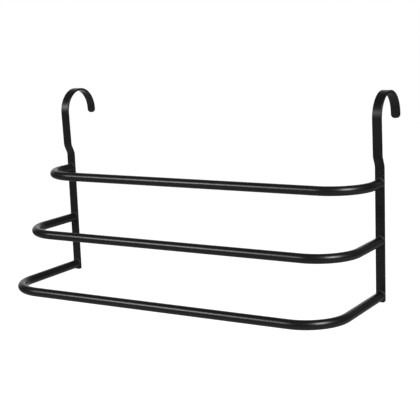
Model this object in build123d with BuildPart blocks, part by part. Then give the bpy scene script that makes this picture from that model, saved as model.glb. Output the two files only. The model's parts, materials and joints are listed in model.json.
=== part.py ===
"""Triple towel bar that hangs over a rail or a door by two hooked straps.

Two flat steel strips are each bent into a half-round hook, a leg and a joggle. Three U-bent
tubes of growing reach are butt-welded to the fronts of the strips. The origin is on the axis
of the hook seats, midway between the straps. X runs along the bars, Z is up and the bars
reach out towards -Y.
"""

import os
from math import cos, radians, sin, tan

from build123d import *

# Flat strip of the two hangers
strip_width = 10.2
strip_thickness = 2.5
strip_edge_break = 0.4
strap_spacing = 400.0

# Hook at the top of each hanger
hook_inner_radius = 25.0
tongue_length = 4.4
tongue_corner_radius = 4.2

# Leg and joggle below the hook
leg_lean = 2.0
joggle_drop = 44.0
joggle_height = 10.0
joggle_offset = 5.2
joggle_inside_radius = 8.0

# Tubes of the three bars: drop below the hook axis, and reach in front of the straps
bar_diameter = 10.0
bar_bend_radius = 43.0
top_bar_drop = 67.5
top_bar_reach = 60.5
middle_bar_drop = 128.5
middle_bar_reach = 100.0
bottom_bar_drop = 187.5
bottom_bar_reach = 131.0

# Weld fillet at each bar end, and the strap's tail below the last bar
weld_leg = 1.4
strap_tail = 7.0
tail_corner_radius = 2.4

# Back face of a strip in the YZ plane, from the hook down to the tail
lean = radians(leg_lean)
hook_start_y = -hook_inner_radius * cos(lean)
hook_start_z = -hook_inner_radius * sin(lean)
joggle_top_z = -joggle_drop + joggle_height / 2
joggle_top_y = hook_start_y + (hook_start_z - joggle_top_z) * tan(lean)
joggle_foot_z = -joggle_drop - joggle_height / 2
strap_back_y = joggle_top_y + joggle_offset
strap_front_y = strap_back_y - strip_thickness
strap_end_z = -bottom_bar_drop - strap_tail

bar_radius = bar_diameter / 2


def make_hanger(x):
    """One strip: tail, joggle, leaning leg, half-round hook and tongue, with round end corners."""
    with BuildPart() as hanger:
        with BuildSketch(Plane.YZ.offset(x)):
            with BuildLine():
                FilletPolyline(
                    (strap_back_y, strap_end_z),
                    (strap_back_y, joggle_foot_z),
                    (joggle_top_y, joggle_top_z),
                    (hook_start_y, hook_start_z),
                    radius=[joggle_inside_radius + strip_thickness, joggle_inside_radius],
                )
                CenterArc((0, 0), hook_inner_radius, 180 + leg_lean, -180 - leg_lean)
                Line((hook_inner_radius, 0), (hook_inner_radius, -tongue_length))
                offset(amount=strip_thickness, side=Side.LEFT)
            make_face()
        extrude(amount=strip_width / 2, both=True)
        thickness_edges = hanger.edges().filter_by(Axis.Y)
        tongue_corners = thickness_edges.group_by(Axis.Y)[-1]
        tail_corners = thickness_edges.group_by(Axis.Z)[0]
        fillet(tongue_corners, radius=tongue_corner_radius)
        fillet(tail_corners, radius=tail_corner_radius)
        sides = hanger.faces().filter_by(Axis.X)
        chamfer(sides.edges(), length=strip_edge_break)
    return hanger


def make_weld():
    """Equal-legged weld fillet where a bar meets its strap, cut off at the strap's edges."""
    with BuildPart() as weld:
        with BuildSketch(Plane.XY):
            with BuildLine():
                Polyline((0, 0), (bar_radius + weld_leg, 0), (bar_radius, -weld_leg), (0, -weld_leg), close=True)
            make_face()
        revolve(axis=Axis.Y)
        Box(strip_width, 2 * weld_leg, 2 * (bar_diameter + weld_leg), mode=Mode.INTERSECT)
    return weld


def make_bar(drop, reach, weld):
    """One tube: leg, quarter bend, run, quarter bend, leg, with a weld fillet at each end."""
    half_span = strap_spacing / 2
    run_y = strap_front_y - reach
    with BuildPart() as bar:
        with BuildLine(Plane.XY.offset(-drop)) as route:
            FilletPolyline(
                (-half_span, strap_front_y),
                (-half_span, run_y),
                (half_span, run_y),
                (half_span, strap_front_y),
                radius=bar_bend_radius,
            )
        with BuildSketch(Plane((-half_span, strap_front_y, -drop), z_dir=(0, -1, 0))):
            Circle(bar_radius)
        sweep(path=route.wires()[0])
        with Locations((-half_span, strap_front_y, -drop), (half_span, strap_front_y, -drop)):
            add(weld.part)
    return bar


os.makedirs("parts", exist_ok=True)

for side, name in ((-1, "left_hanger"), (1, "right_hanger")):
    hanger = make_hanger(side * strap_spacing / 2)
    hanger.part.label = name
    export_step(hanger.part, f"parts/{name}.step")

bars = (
    ("top_bar", top_bar_drop, top_bar_reach),
    ("middle_bar", middle_bar_drop, middle_bar_reach),
    ("bottom_bar", bottom_bar_drop, bottom_bar_reach),
)
end_weld = make_weld()
for name, drop, reach in bars:
    bar = make_bar(drop, reach, end_weld)
    bar.part.label = name
    export_step(bar.part, f"parts/{name}.step")
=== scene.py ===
# %% [markdown]
# # Triple towel bar on two hooks
# The real rack is five pieces of steel. Two flat strips are bent into hooks at the top, and three
# tubes, each bent into a U, are welded to the fronts of the strips. One satin black powder coat
# covers everything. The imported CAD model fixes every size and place, so this lesson only adds
# what the eye sees: smooth bends, softened edges, weld fillets, the coat and the studio light.

# %% Load the frame and keep its box
import json
import bmesh
import bpy
import numpy as np
from mathutils import Matrix, Vector


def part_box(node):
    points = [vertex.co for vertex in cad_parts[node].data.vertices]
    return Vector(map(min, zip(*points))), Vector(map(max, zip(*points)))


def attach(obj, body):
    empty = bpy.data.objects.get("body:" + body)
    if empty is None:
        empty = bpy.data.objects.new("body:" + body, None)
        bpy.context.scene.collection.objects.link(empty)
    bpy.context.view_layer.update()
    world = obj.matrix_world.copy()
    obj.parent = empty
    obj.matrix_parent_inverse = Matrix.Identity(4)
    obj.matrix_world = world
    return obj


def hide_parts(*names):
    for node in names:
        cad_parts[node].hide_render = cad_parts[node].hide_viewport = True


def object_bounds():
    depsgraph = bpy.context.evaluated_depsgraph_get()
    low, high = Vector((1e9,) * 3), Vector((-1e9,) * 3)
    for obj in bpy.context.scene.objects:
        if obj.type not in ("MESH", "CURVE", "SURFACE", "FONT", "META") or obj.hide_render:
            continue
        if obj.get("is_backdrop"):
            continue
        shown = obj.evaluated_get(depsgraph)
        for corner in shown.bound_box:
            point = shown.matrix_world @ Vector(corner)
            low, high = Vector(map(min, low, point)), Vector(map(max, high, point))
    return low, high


MM = 0.001

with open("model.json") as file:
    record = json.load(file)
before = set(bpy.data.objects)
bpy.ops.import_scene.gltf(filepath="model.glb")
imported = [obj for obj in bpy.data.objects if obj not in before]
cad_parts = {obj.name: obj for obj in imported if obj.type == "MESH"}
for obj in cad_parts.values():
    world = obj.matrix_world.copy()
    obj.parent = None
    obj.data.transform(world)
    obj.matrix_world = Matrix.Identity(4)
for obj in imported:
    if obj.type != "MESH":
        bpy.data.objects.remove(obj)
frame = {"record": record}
cad_low, cad_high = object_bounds()
print("CAD box in mm:", np.round(np.array(cad_high - cad_low) / MM, 1))

# %% [markdown]
# ## Sizes come from the frame
# A piece that is fitted by eye drifts away from the model. Places and main sizes are therefore
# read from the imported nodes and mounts, and rounded to a tenth of a millimetre, because a packed
# node is faceted and its box is a few hundredths too small. A bar's box is as tall as the tube and
# the two legs of its weld fillets, so the legs are taken off to get the tube. The few sizes that no
# box or mount tells, such as the bends of the joggle, are written where they are needed.

# %% Read places and sizes
weld_leg = 1.4 * MM


def tenth(length):
    """A length in metres, rounded to a tenth of a millimetre."""
    return round(length, 4)


mounts = {mount["name"]: mount for mount in frame["record"]["mounts"]}
seat_radius = mounts["hook_seat"]["dims"]["r_mm"] * MM
strap_back = mounts["right_back_rest"]["pos_m"][1]
strip_low, strip_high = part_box("right_hanger")
strip_width = tenth(strip_high.x - strip_low.x)
strip_thickness = tenth(strip_high.z - seat_radius)
strap_x = tenth((strip_low.x + strip_high.x) / 2)
strap_end = tenth(strip_low.z)
strap_front = strap_back - strip_thickness
bar_low, bar_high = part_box("top_bar")
bar_radius = tenth((bar_high.z - bar_low.z) / 2 - weld_leg)
print(f"strip {strip_width / MM:.1f} x {strip_thickness / MM:.1f} mm at x {strap_x / MM:.0f} mm")
print(f"bar diameter {2 * bar_radius / MM:.1f} mm, hook seat radius {seat_radius / MM:.1f} mm")

# %% [markdown]
# ## One line for every bend
# The rack was made on a bending machine, which only knows two moves: feed straight, or bend by an
# angle. A line made of the same two moves describes the tubes and the strips alike. Blender could
# hold it as a curve with handles, but a formula gives exact arcs, and it gives the heading too,
# which says where a profile carried along the line has to face. The line is read at stations,
# which stand closer together where an end changes its shape fast.

# %% A line of runs and bends
quarter = np.pi / 2


def chord(length, turn, heading):
    """The step from one end to the other of an arc of this length, turn and first heading.

    The chord is length * sin(turn / 2) / (turn / 2) long and points half the turn further on.
    With no turn, the same formula is a straight run.
    """
    reach = length * np.sinc(turn / (2 * np.pi))
    middle = heading + turn / 2
    return np.stack((reach * np.cos(middle), reach * np.sin(middle)), axis=-1)


def line_length(moves):
    """The whole length of a line of (length, turn) moves."""
    return sum(length for length, turn in moves)


def bent_line(start, heading, moves, stations):
    """Points and headings at these distances along a line of (length, turn) moves.

    Each station belongs to the move whose stretch it lies in. Its point is where that move
    starts, plus the chord of the part of the move already made.
    """
    length, turn = np.array(moves).T
    ends = np.cumsum(length)
    headings = heading + np.cumsum(turn) - turn
    steps = chord(length, turn, headings)
    starts = np.array(start) + np.cumsum(steps, axis=0) - steps
    move = np.clip(np.searchsorted(ends, stations), 0, len(moves) - 1)
    along = stations - (ends - length)[move]
    turned = turn[move] * along / length[move]
    return starts[move] + chord(along, turned, headings[move]), headings[move] + turned


rounded_square = 4 * [(1, 0), (0.5, quarter)]
both_ends = np.array((0, line_length(rounded_square)))
square_ends, square_headings = bent_line((0, 0), 0, rounded_square, both_ends)
square_gap = np.abs(square_ends[1] - square_ends[0]).max()
square_turn = np.degrees(square_headings[1])
print(f"a rounded square turns {square_turn:.0f} degrees and closes to within {square_gap:.0e}")

# %% Stations along the line
end_rings = 16


def crowded(length, step, first_end, last_end):
    """Distances from 0 to length: even steps, but crowded in the zones at both ends.

    In a zone of size e the distances from that end are e * (1 - cos(a)), for a from 0 to a quarter
    turn. Two distances that agree to eight decimals of a metre are one.
    """
    crowd = 1 - np.cos(np.linspace(0, quarter, end_rings))
    count = int(np.ceil((length - first_end - last_end) / step)) + 1
    even = np.linspace(first_end, length - last_end, count)
    joined = np.concatenate((first_end * crowd, even, length - last_end * crowd))
    return np.unique(np.round(joined, 8))


sample_steps = np.diff(crowded(length=1, step=0.1, first_end=0.2, last_end=0.2))
print(f"on a line of length 1 the steps go from {sample_steps.min():.3f} to {sample_steps.max():.3f}")

# %% [markdown]
# ## A skin over rings of points
# Carrying a profile along the line gives a grid: one ring of points per station. The grid already
# says which points are neighbours, so all the quads come from index arithmetic on whole arrays,
# and nothing has to be welded afterwards. Seen along the line, the rings run anticlockwise. A quad
# whose corners go along the line first and round the ring second then faces outwards. The printed
# volume proves it, because it would be negative if the faces pointed inwards.

# %% From rings to a closed mesh


def signed_volume(mesh):
    """The volume that a closed mesh holds, negative if its faces point inwards."""
    shell = bmesh.new()
    shell.from_mesh(mesh)
    volume = shell.calc_volume(signed=True)
    shell.free()
    return volume


def skin(name, rings):
    """A closed piece over an array of rings x points x 3.

    Quad (i, j) joins points j and j + 1 of ring i to the same points of ring i + 1. A ring's last
    point joins its first, and one flat face closes each end, turned away from the piece.
    """
    count, around = rings.shape[:2]
    index = np.arange(count * around).reshape(count, around)
    beside = np.roll(index, -1, axis=1)
    quads = np.stack((index[:-1], index[1:], beside[1:], beside[:-1]), axis=-1).reshape(-1, 4)
    caps = [index[0].tolist(), index[-1, ::-1].tolist()]
    mesh = bpy.data.meshes.new(name)
    mesh.from_pydata(rings.reshape(-1, 3).tolist(), [], quads.tolist() + caps)
    smooth = np.ones(len(mesh.polygons), dtype=bool)
    smooth[-len(caps):] = False
    mesh.polygons.foreach_set("use_smooth", smooth)
    mesh.update()
    piece = bpy.data.objects.new(name, mesh)
    bpy.context.scene.collection.objects.link(piece)
    print(f"{name}: {len(quads)} quads, holds {signed_volume(mesh) / MM**3:.0f} mm3")
    return piece


# %% [markdown]
# ## The three bars
# Each bar is one steel tube with two quarter bends. Its ends are cut square, pushed against the
# strips and welded all round. The tube is a circle carried along the bent line. The weld is part
# of the same surface: within a weld leg of the strip the circle's radius grows along a hollow
# curve, with the fine ripple that a hand-held torch leaves. The strip is hardly wider than the
# tube, so at the sides the weld has no footing and is cut off at the strip's edges. An attribute
# marks the weld's points, so that the coat can look different there.

# %% Carry a circle along a U
bend_radius = 43 * MM
weld_ripple = 0.1
ripples = 22
tube_sides = 64
tube_step = 3 * MM


def make_bar(name):
    """A tube: centre + radius * (outward * cos(a) + up * sin(a)), a from 0 to a full turn.

    Outward is the right-hand side of the heading. Near an end the radius gains the weld,
    leg * (1 - distance / leg) squared, and the outward part stops at half the strip's width.
    The attribute is 1 on the weld and 0 elsewhere.
    """
    low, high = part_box(name)
    level = tenth((low.z + high.z) / 2)
    reach = tenth(strap_front - low.y - bar_radius)
    leg = (reach - bend_radius, 0)
    bend = (quarter * bend_radius, quarter)
    run = (2 * (strap_x - bend_radius), 0)
    moves = (leg, bend, run, bend, leg)
    length = line_length(moves)
    stations = crowded(length, tube_step, weld_leg, weld_leg)
    centres, headings = bent_line((-strap_x, strap_front), -quarter, moves, stations)

    angle = np.linspace(0, 2 * np.pi, tube_sides, endpoint=False)
    to_strip = np.minimum(stations, length - stations)
    nearness = np.clip(1 - to_strip / weld_leg, 0, 1)
    bead = weld_leg * (1 + weld_ripple * np.sin(ripples * angle))
    radius = bar_radius + nearness[:, None] ** 2 * bead

    sideways = np.clip(radius * np.cos(angle), -strip_width / 2, strip_width / 2)
    x = centres[:, :1] + np.sin(headings)[:, None] * sideways
    y = centres[:, 1:] - np.cos(headings)[:, None] * sideways
    z = level + radius * np.sin(angle)
    bar = skin(name + "_tube", np.stack((x, y, z), axis=-1))
    weld = bar.data.attributes.new("weld", "FLOAT", "POINT")
    weld.data.foreach_set("value", np.repeat(np.sign(nearness), tube_sides))
    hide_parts(name)
    return bar


bars = [make_bar(name) for name in ("top_bar", "middle_bar", "bottom_bar")]

# %% [markdown]
# ## The two hooked strips
# A hanger is one flat strip. From its tail it runs up, steps forward in a joggle, leans on to the
# hook, goes round the seat in a half circle and ends in a short tongue. A straight strip could be
# bent by a curve modifier, but the same list of moves as for the tubes already gives the exact
# line. The straight stretches are worked out on the back face, as on the model, and the bends on
# the middle of the strip, where the line runs.

# %% The bends of a strip
leg_lean = np.radians(2)
joggle_drop = 44 * MM
joggle_height = 10 * MM
joggle_offset = 5.2 * MM
joggle_inside = 8 * MM
tongue_length = 4.4 * MM

joggle_angle = np.arctan2(joggle_offset, joggle_height)
foot_tangent = (joggle_inside + strip_thickness) * np.tan(joggle_angle / 2)
head_tangent = joggle_inside * np.tan((joggle_angle - leg_lean) / 2)
joggle_radius = joggle_inside + strip_thickness / 2
hook_radius = seat_radius + strip_thickness / 2
leg_rise = joggle_drop - joggle_height / 2 - seat_radius * np.sin(leg_lean)

strap = (-joggle_drop - joggle_height / 2 - strap_end - foot_tangent, 0)
joggle_foot = (joggle_radius * joggle_angle, joggle_angle)
joggle_slope = (np.hypot(joggle_offset, joggle_height) - foot_tangent - head_tangent, 0)
joggle_head = (joggle_radius * (joggle_angle - leg_lean), leg_lean - joggle_angle)
leg = (leg_rise / np.cos(leg_lean) - head_tangent, 0)
hook = (hook_radius * (np.pi + leg_lean), -np.pi - leg_lean)
tongue = (tongue_length, 0)
strip_moves = (strap, joggle_foot, joggle_slope, joggle_head, leg, hook, tongue)
strip_length = line_length(strip_moves)
print(f"one strip is {strip_length / MM:.1f} mm long before bending")

# %% [markdown]
# ## The section of a strip
# Rolled strip has softened edges, and a punch rounds the corners at its ends. So the profile is a
# rectangle whose four corners are small arcs. A bevel modifier could round a sharp strip as well,
# but with the arcs in the profile the flat faces stay flat, and the width can shrink along a circle
# towards each end.

# %% Carry a rounded rectangle along the strip
edge_radius = 0.45 * MM
edge_support = 0.25 * MM
least_edge = 0.02 * MM
tongue_corner = 4.2 * MM
tail_corner = 2.4 * MM
strip_step = 0.75 * MM
corner_steps = 6


def rounded_rectangle():
    """Signs, arc angles and pulled-in supports for the points of a rounded rectangle.

    One quarter goes from the narrow side round its arc to the wide face. The other three are its
    mirror images, in an order that keeps going round. A support point next to each arc holds the
    flat faces' shading flat.
    """
    arc = np.linspace(0, quarter, corner_steps)
    angle = np.concatenate(([0], arc, [quarter]))
    narrow = np.zeros(len(angle))
    narrow[0] = 1
    wide = narrow[::-1]
    forth = np.stack((angle, wide, narrow))
    back = forth[:, ::-1]
    sign_x = np.repeat((1, -1, -1, 1), len(angle))
    sign_y = np.repeat((1, 1, -1, -1), len(angle))
    return sign_x, sign_y, *np.concatenate((forth, back, forth, back), axis=1)


def corner_loss(distance, radius):
    """How much a round corner takes off at this distance from the end.

    Within a radius r of the end that is r - sqrt(r * r - gap * gap), with gap = r - distance.
    """
    gap = np.clip(radius - distance, 0, radius)
    return radius - np.sqrt(radius**2 - gap**2)


def half_width(stations, inset):
    """Half the strip's width at these stations, on an outline drawn this far inside the real one."""
    tail_loss = corner_loss(stations - inset, tail_corner - inset)
    tongue_loss = corner_loss(strip_length - stations - inset, tongue_corner - inset)
    return strip_width / 2 - inset - tail_loss - tongue_loss


def make_hanger(name, x):
    """A strip: centre + across * X + off * normal, with (across, off) on a rounded rectangle.

    The flat face ends an edge radius inside the outline, and a quarter ellipse leads from there to
    the outline. Its depth is the edge radius too, and shrinks along a circle at the strip's ends.
    Neither shrinks to nothing, so that no face collapses.
    """
    stations = crowded(strip_length, strip_step, tail_corner, tongue_corner)
    start = (strap_back - strip_thickness / 2, strap_end)
    centres, headings = bent_line(start, quarter, strip_moves, stations)
    to_end = np.minimum(stations, strip_length - stations)

    flat = half_width(stations, edge_radius)[:, None]
    edge_width = np.maximum(half_width(stations, 0)[:, None] - flat, least_edge)
    edge_depth = np.maximum(edge_radius - corner_loss(to_end, edge_radius)[:, None], least_edge)
    core = strip_thickness / 2 - edge_radius
    sign_x, sign_y, angle, wide, narrow = rounded_rectangle()
    across = sign_x * (flat + edge_width * np.cos(angle) - edge_support * wide)
    off = sign_y * (core + edge_depth * np.sin(angle) - edge_support * narrow)

    y = centres[:, :1] - np.sin(headings)[:, None] * off
    z = centres[:, 1:] + np.cos(headings)[:, None] * off
    hanger = skin(name + "_strip", np.stack((x + across, y, z), axis=-1))
    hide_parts(name)
    return hanger


hangers = [make_hanger("left_hanger", -strap_x), make_hanger("right_hanger", strap_x)]

# %% [markdown]
# ## Helpers for shader nodes
# A material can be clicked together in the shader editor. In a script the same nodes are made and
# linked one by one, and four small helpers keep that short: one adds a node, and the others add
# the nodes that come up again and again.

# %% Add nodes by name


def add_node(tree, kind, **values):
    """A node of this kind, with its properties or input sockets set by name."""
    node = tree.nodes.new(kind)
    for name, value in values.items():
        if name in node.inputs:
            node.inputs[name].default_value = value
        else:
            setattr(node, name, value)
    return node


def noise(tree, place, scale, detail):
    """Noise of this many waves per metre, with this many finer layers, read at a place."""
    node = add_node(tree, "ShaderNodeTexNoise", Scale=scale, Detail=detail)
    tree.links.new(place, node.inputs["Vector"])
    return node.outputs["Fac"]


def ramp(tree, value, between, results, kind="LINEAR"):
    """A number that goes from the first result to the second while the value crosses a range."""
    node = add_node(tree, "ShaderNodeMapRange", interpolation_type=kind)
    for socket, number in zip(node.inputs[1:5], (*between, *results)):
        socket.default_value = number
    tree.links.new(value, node.inputs["Value"])
    return node.outputs["Result"]


def combine(tree, operation, *values):
    """The result of a Math node on numbers or on other nodes' outputs."""
    node = add_node(tree, "ShaderNodeMath", operation=operation)
    for socket, value in zip(node.inputs, values):
        if isinstance(value, (int, float)):
            socket.default_value = value
        else:
            tree.links.new(value, socket)
    return node.outputs["Value"]


# %% [markdown]
# ## The satin black coat
# Powder coat is sprayed on dry and baked until it flows. It ends up a soft black with a broad,
# low sheen, and close up it has orange peel: shallow waves about a millimetre across, with a
# finer grain on top. Both are noise on Object coordinates, so the pattern keeps one scale on
# tube and strip and doesn't stretch round the bends. Both go into the bump, and the grain also
# goes into the roughness. A third, broad noise shifts the black a little, because a baked coat is
# never quite even. Over the ripples of a weld the coat stays rough, so it is matt where the
# weld's attribute says so.

# %% Mix the coat
darkest_black = (0.0030, 0.0030, 0.0032, 1)
palest_black = (0.0052, 0.0052, 0.0055, 1)
coat_ior = 1.45
satin_roughness = (0.29, 0.35)
weld_matt = 0.35
cloud_per_metre = 28
peel_per_metre = 750
peel_height = 0.06 * MM
grain_per_metre = 3200
grain_height = 0.03 * MM
bump_strength = 0.2
noise_middle = (0.33, 0.67)


def satin_black_coat():
    """Black powder coat: uneven black, satin but matt on welds, peel and grain in the bump."""
    coat = bpy.data.materials.new("satin_black_coat")
    coat.use_nodes = True
    tree = coat.node_tree
    link = tree.links.new
    surface = tree.nodes["Principled BSDF"]
    surface.inputs["IOR"].default_value = coat_ior
    place = add_node(tree, "ShaderNodeTexCoord").outputs["Object"]
    cloud = noise(tree, place, cloud_per_metre, detail=3)
    peel = noise(tree, place, peel_per_metre, detail=1)
    grain = noise(tree, place, grain_per_metre, detail=2)

    shade = add_node(tree, "ShaderNodeMix", data_type="RGBA")
    shade.inputs["A"].default_value = darkest_black
    shade.inputs["B"].default_value = palest_black
    link(ramp(tree, cloud, noise_middle, (0, 1)), shade.inputs["Factor"])
    link(shade.outputs["Result"], surface.inputs["Base Color"])

    weld = add_node(tree, "ShaderNodeAttribute", attribute_name="weld").outputs["Fac"]
    satin = ramp(tree, grain, noise_middle, satin_roughness)
    link(combine(tree, "MULTIPLY_ADD", weld, weld_matt, satin), surface.inputs["Roughness"])

    waves = add_node(tree, "ShaderNodeBump", Strength=bump_strength, Distance=peel_height)
    link(peel, waves.inputs["Height"])
    fine = add_node(tree, "ShaderNodeBump", Strength=bump_strength, Distance=grain_height)
    link(grain, fine.inputs["Height"])
    link(waves.outputs["Normal"], fine.inputs["Normal"])
    link(fine.outputs["Normal"], surface.inputs["Normal"])
    return coat


coat = satin_black_coat()
print(f"{coat.name}: {len(coat.node_tree.nodes)} nodes")

# %% Coat all five pieces
for piece in bars + hangers:
    piece.data.materials.append(coat)
    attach(piece, "root")
print("coated:", ", ".join(piece.name for piece in bars + hangers))

# %% [markdown]
# ## The camera
# The photograph looks at the rack from the front right and a little from above, with a long lens
# and a slight tilt of the frame. These values are the best fit of the model's bends, ends and
# hooks to the photograph. A matrix built from the three view axes holds the tilt too, which a
# track-to constraint would lose.

# %% Place the camera
image_size = 420
focal_pixels = 1085.1
view_azimuth = 30.86
view_elevation = 10.51
view_tilt = np.radians(2.15)
view_distance = 1.2335
view_target = Vector((-0.0054, -0.0206, -0.1081))


def direction(azimuth, elevation):
    """The way from the rack to a place: (sin(a) * cos(e), -cos(a) * cos(e), sin(e)).

    Both angles are in degrees. Azimuth 0 is straight in front, and 90 is towards +X.
    """
    turn = np.radians(azimuth)
    rise = np.radians(elevation)
    return Vector((np.sin(turn) * np.cos(rise), -np.cos(turn) * np.cos(rise), np.sin(rise)))


forward = -direction(view_azimuth, view_elevation)
level_right = direction(view_azimuth + 90, 0)
level_up = level_right.cross(forward)
right = level_right * np.cos(view_tilt) - level_up * np.sin(view_tilt)
up = right.cross(forward)

lens = bpy.data.cameras.new("photo_camera")
lens.lens = focal_pixels / image_size * lens.sensor_width
camera = bpy.data.objects.new("photo_camera", lens)
axes = Matrix((right, up, -forward)).transposed()
camera.matrix_world = Matrix.Translation(view_target - forward * view_distance) @ axes.to_4x4()
bpy.context.scene.collection.objects.link(camera)
bpy.context.scene.camera = camera
bpy.context.scene.view_settings.view_transform = "Standard"
print(f"lens {lens.lens:.1f} mm, camera at {np.round(camera.location, 3)}")

# %% [markdown]
# ## A floor with white paper
# A black coat shows mostly what it mirrors, and a plain white floor would turn every underside pale.
# So the rack hangs over a grey floor, and a narrow strip of white paper runs away from the camera
# behind it, where only the rims of the tubes mirror it. The camera itself sees plain white. The
# paper glows, but it isn't sampled as a lamp: all the light samples go to the softboxes, so that
# their streaks come out smooth.

# %% Lay the floor
floor_drop = 0.35
floor_half = 30.0


def make_floor():
    """A flat square: x and y are minus or plus the half side, at one level below the rack."""
    ends = (-floor_half, floor_half)
    x, y = np.meshgrid(ends, ends)
    z = np.full_like(x, cad_low.z - floor_drop)
    corners = np.stack((x, y, z), axis=-1).reshape(-1, 3)
    mesh = bpy.data.meshes.new("paper_floor")
    mesh.from_pydata(corners.tolist(), [], [(0, 1, 3, 2)])
    floor = bpy.data.objects.new("paper_floor", mesh)
    bpy.context.scene.collection.objects.link(floor)
    floor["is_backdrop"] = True
    return floor


floor = make_floor()
print(f"floor {2 * floor_half:.0f} m wide, {floor_drop} m below the rack")

# %% Paint the floor and its strip of paper
floor_grey = 0.42
paper_starts = (0.5, 1.2)
paper_ends_sideways = (0.45, 1.0)
paper_glow = 0.8
camera_glow = 0.95


def distance_along(tree, place, way):
    """How far a place lies along a direction: their dot product."""
    node = add_node(tree, "ShaderNodeVectorMath", operation="DOT_PRODUCT")
    node.inputs[1].default_value = way
    tree.links.new(place, node.inputs[0])
    return node.outputs["Value"]


def paper_on_grey_floor():
    """Matt grey floor. Mirrored rays see a glowing strip of paper on it, and the camera only white."""
    finish = bpy.data.materials.new("paper_on_grey_floor")
    finish.use_nodes = True
    finish.cycles.emission_sampling = "NONE"
    tree = finish.node_tree
    surface = tree.nodes["Principled BSDF"]
    surface.inputs["Base Color"].default_value = (floor_grey, floor_grey, floor_grey, 1)
    surface.inputs["Roughness"].default_value = 1.0
    surface.inputs["Specular IOR Level"].default_value = 0.0
    surface.inputs["Emission Color"].default_value = (1, 1, 1, 1)
    place = add_node(tree, "ShaderNodeTexCoord").outputs["Object"]
    away = distance_along(tree, place, (forward.x, forward.y, 0))
    sideways = combine(tree, "ABSOLUTE", distance_along(tree, place, level_right))
    starts = ramp(tree, away, paper_starts, (0, paper_glow), "SMOOTHSTEP")
    ends = ramp(tree, sideways, paper_ends_sideways, (1, 0), "SMOOTHSTEP")
    paper = combine(tree, "MULTIPLY", starts, ends)
    ray = add_node(tree, "ShaderNodeLightPath").outputs
    mirrored = combine(tree, "MULTIPLY", ray["Is Glossy Ray"], paper)
    glow = combine(tree, "MULTIPLY_ADD", ray["Is Camera Ray"], camera_glow, mirrored)
    tree.links.new(glow, surface.inputs["Emission Strength"])
    return finish


floor.data.materials.append(paper_on_grey_floor())
print(f"paper from {paper_starts[0]} m behind the rack, {2 * paper_ends_sideways[0]} m wide")

# %% [markdown]
# ## A dim room
# The same holds for the walls. Straight ahead of the camera the room is white, which draws a pale
# rim where a tube is seen edge-on. On the other sides it is dim, so that the faces stay black. The
# camera sees white from whichever side it looks, and the room isn't sampled as a lamp either.

# %% Light the room
room_grey = 0.11
room_turns_white = (0.6, 0.97)


def light_room():
    """A world that is white straight ahead of the camera and a dim grey on all other sides."""
    world = bpy.data.worlds.new("white_behind_dim_room")
    world.use_nodes = True
    world.cycles.sampling_method = "NONE"
    bpy.context.scene.world = world
    tree = world.node_tree
    way = add_node(tree, "ShaderNodeTexCoord").outputs["Generated"]
    ahead = distance_along(tree, way, forward)
    behind_rack = ramp(tree, ahead, room_turns_white, (room_grey, 1), "SMOOTHSTEP")
    seen = add_node(tree, "ShaderNodeLightPath").outputs["Is Camera Ray"]
    brightness = combine(tree, "MAXIMUM", behind_rack, seen)
    tree.links.new(brightness, tree.nodes["Background"].inputs["Color"])


light_room()
dim_beyond, white_within = np.degrees(np.arccos(room_turns_white))
print(f"room white within {white_within:.0f} degrees of the view, dim beyond {dim_beyond:.0f}")

# %% [markdown]
# ## Two softboxes
# On a black satin tube a lamp is a streak, and where the streak lies says where the lamp stands:
# the surface there faces halfway between the lamp and the camera. The streaks along the runs and
# at the start of the hooks ask for a low lamp at the front left. The bright spots on the right-hand
# bends ask for a high lamp at the front right.

# %% Hang the lamps
rack_middle = (cad_low + cad_high) / 2


def softbox(name, azimuth, elevation, distance, width, height, watts):
    """A rectangular lamp that looks at the rack from this direction and distance.

    A surface that faces it from the rack gets watts / (pi * distance * distance).
    """
    away = direction(azimuth, elevation)
    lamp = bpy.data.lights.new(name, "AREA")
    lamp.shape = "RECTANGLE"
    lamp.size = width
    lamp.size_y = height
    lamp.energy = watts
    holder = bpy.data.objects.new(name, lamp)
    holder.location = rack_middle + away * distance
    holder.rotation_euler = away.to_track_quat("Z", "Y").to_euler()
    bpy.context.scene.collection.objects.link(holder)
    print(f"{name}: {watts} W at {distance} m gives {watts / np.pi / distance**2:.2f} W/m2")


softbox(
    "front_left_softbox", azimuth=-34, elevation=22, distance=1.8, width=0.55, height=0.36, watts=14.5
)
softbox(
    "high_right_softbox", azimuth=63, elevation=34, distance=2.2, width=0.9, height=0.9, watts=54
)

# %% [markdown]
# ## Last check
# The dressed rack has to fill the same box as the CAD model, so the difference of the two boxes is
# printed.

# %% Compare the boxes
low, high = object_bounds()
growth = np.array(high - low) - np.array(cad_high - cad_low)
print("visual box minus CAD box in mm:", np.round(growth / MM, 2))
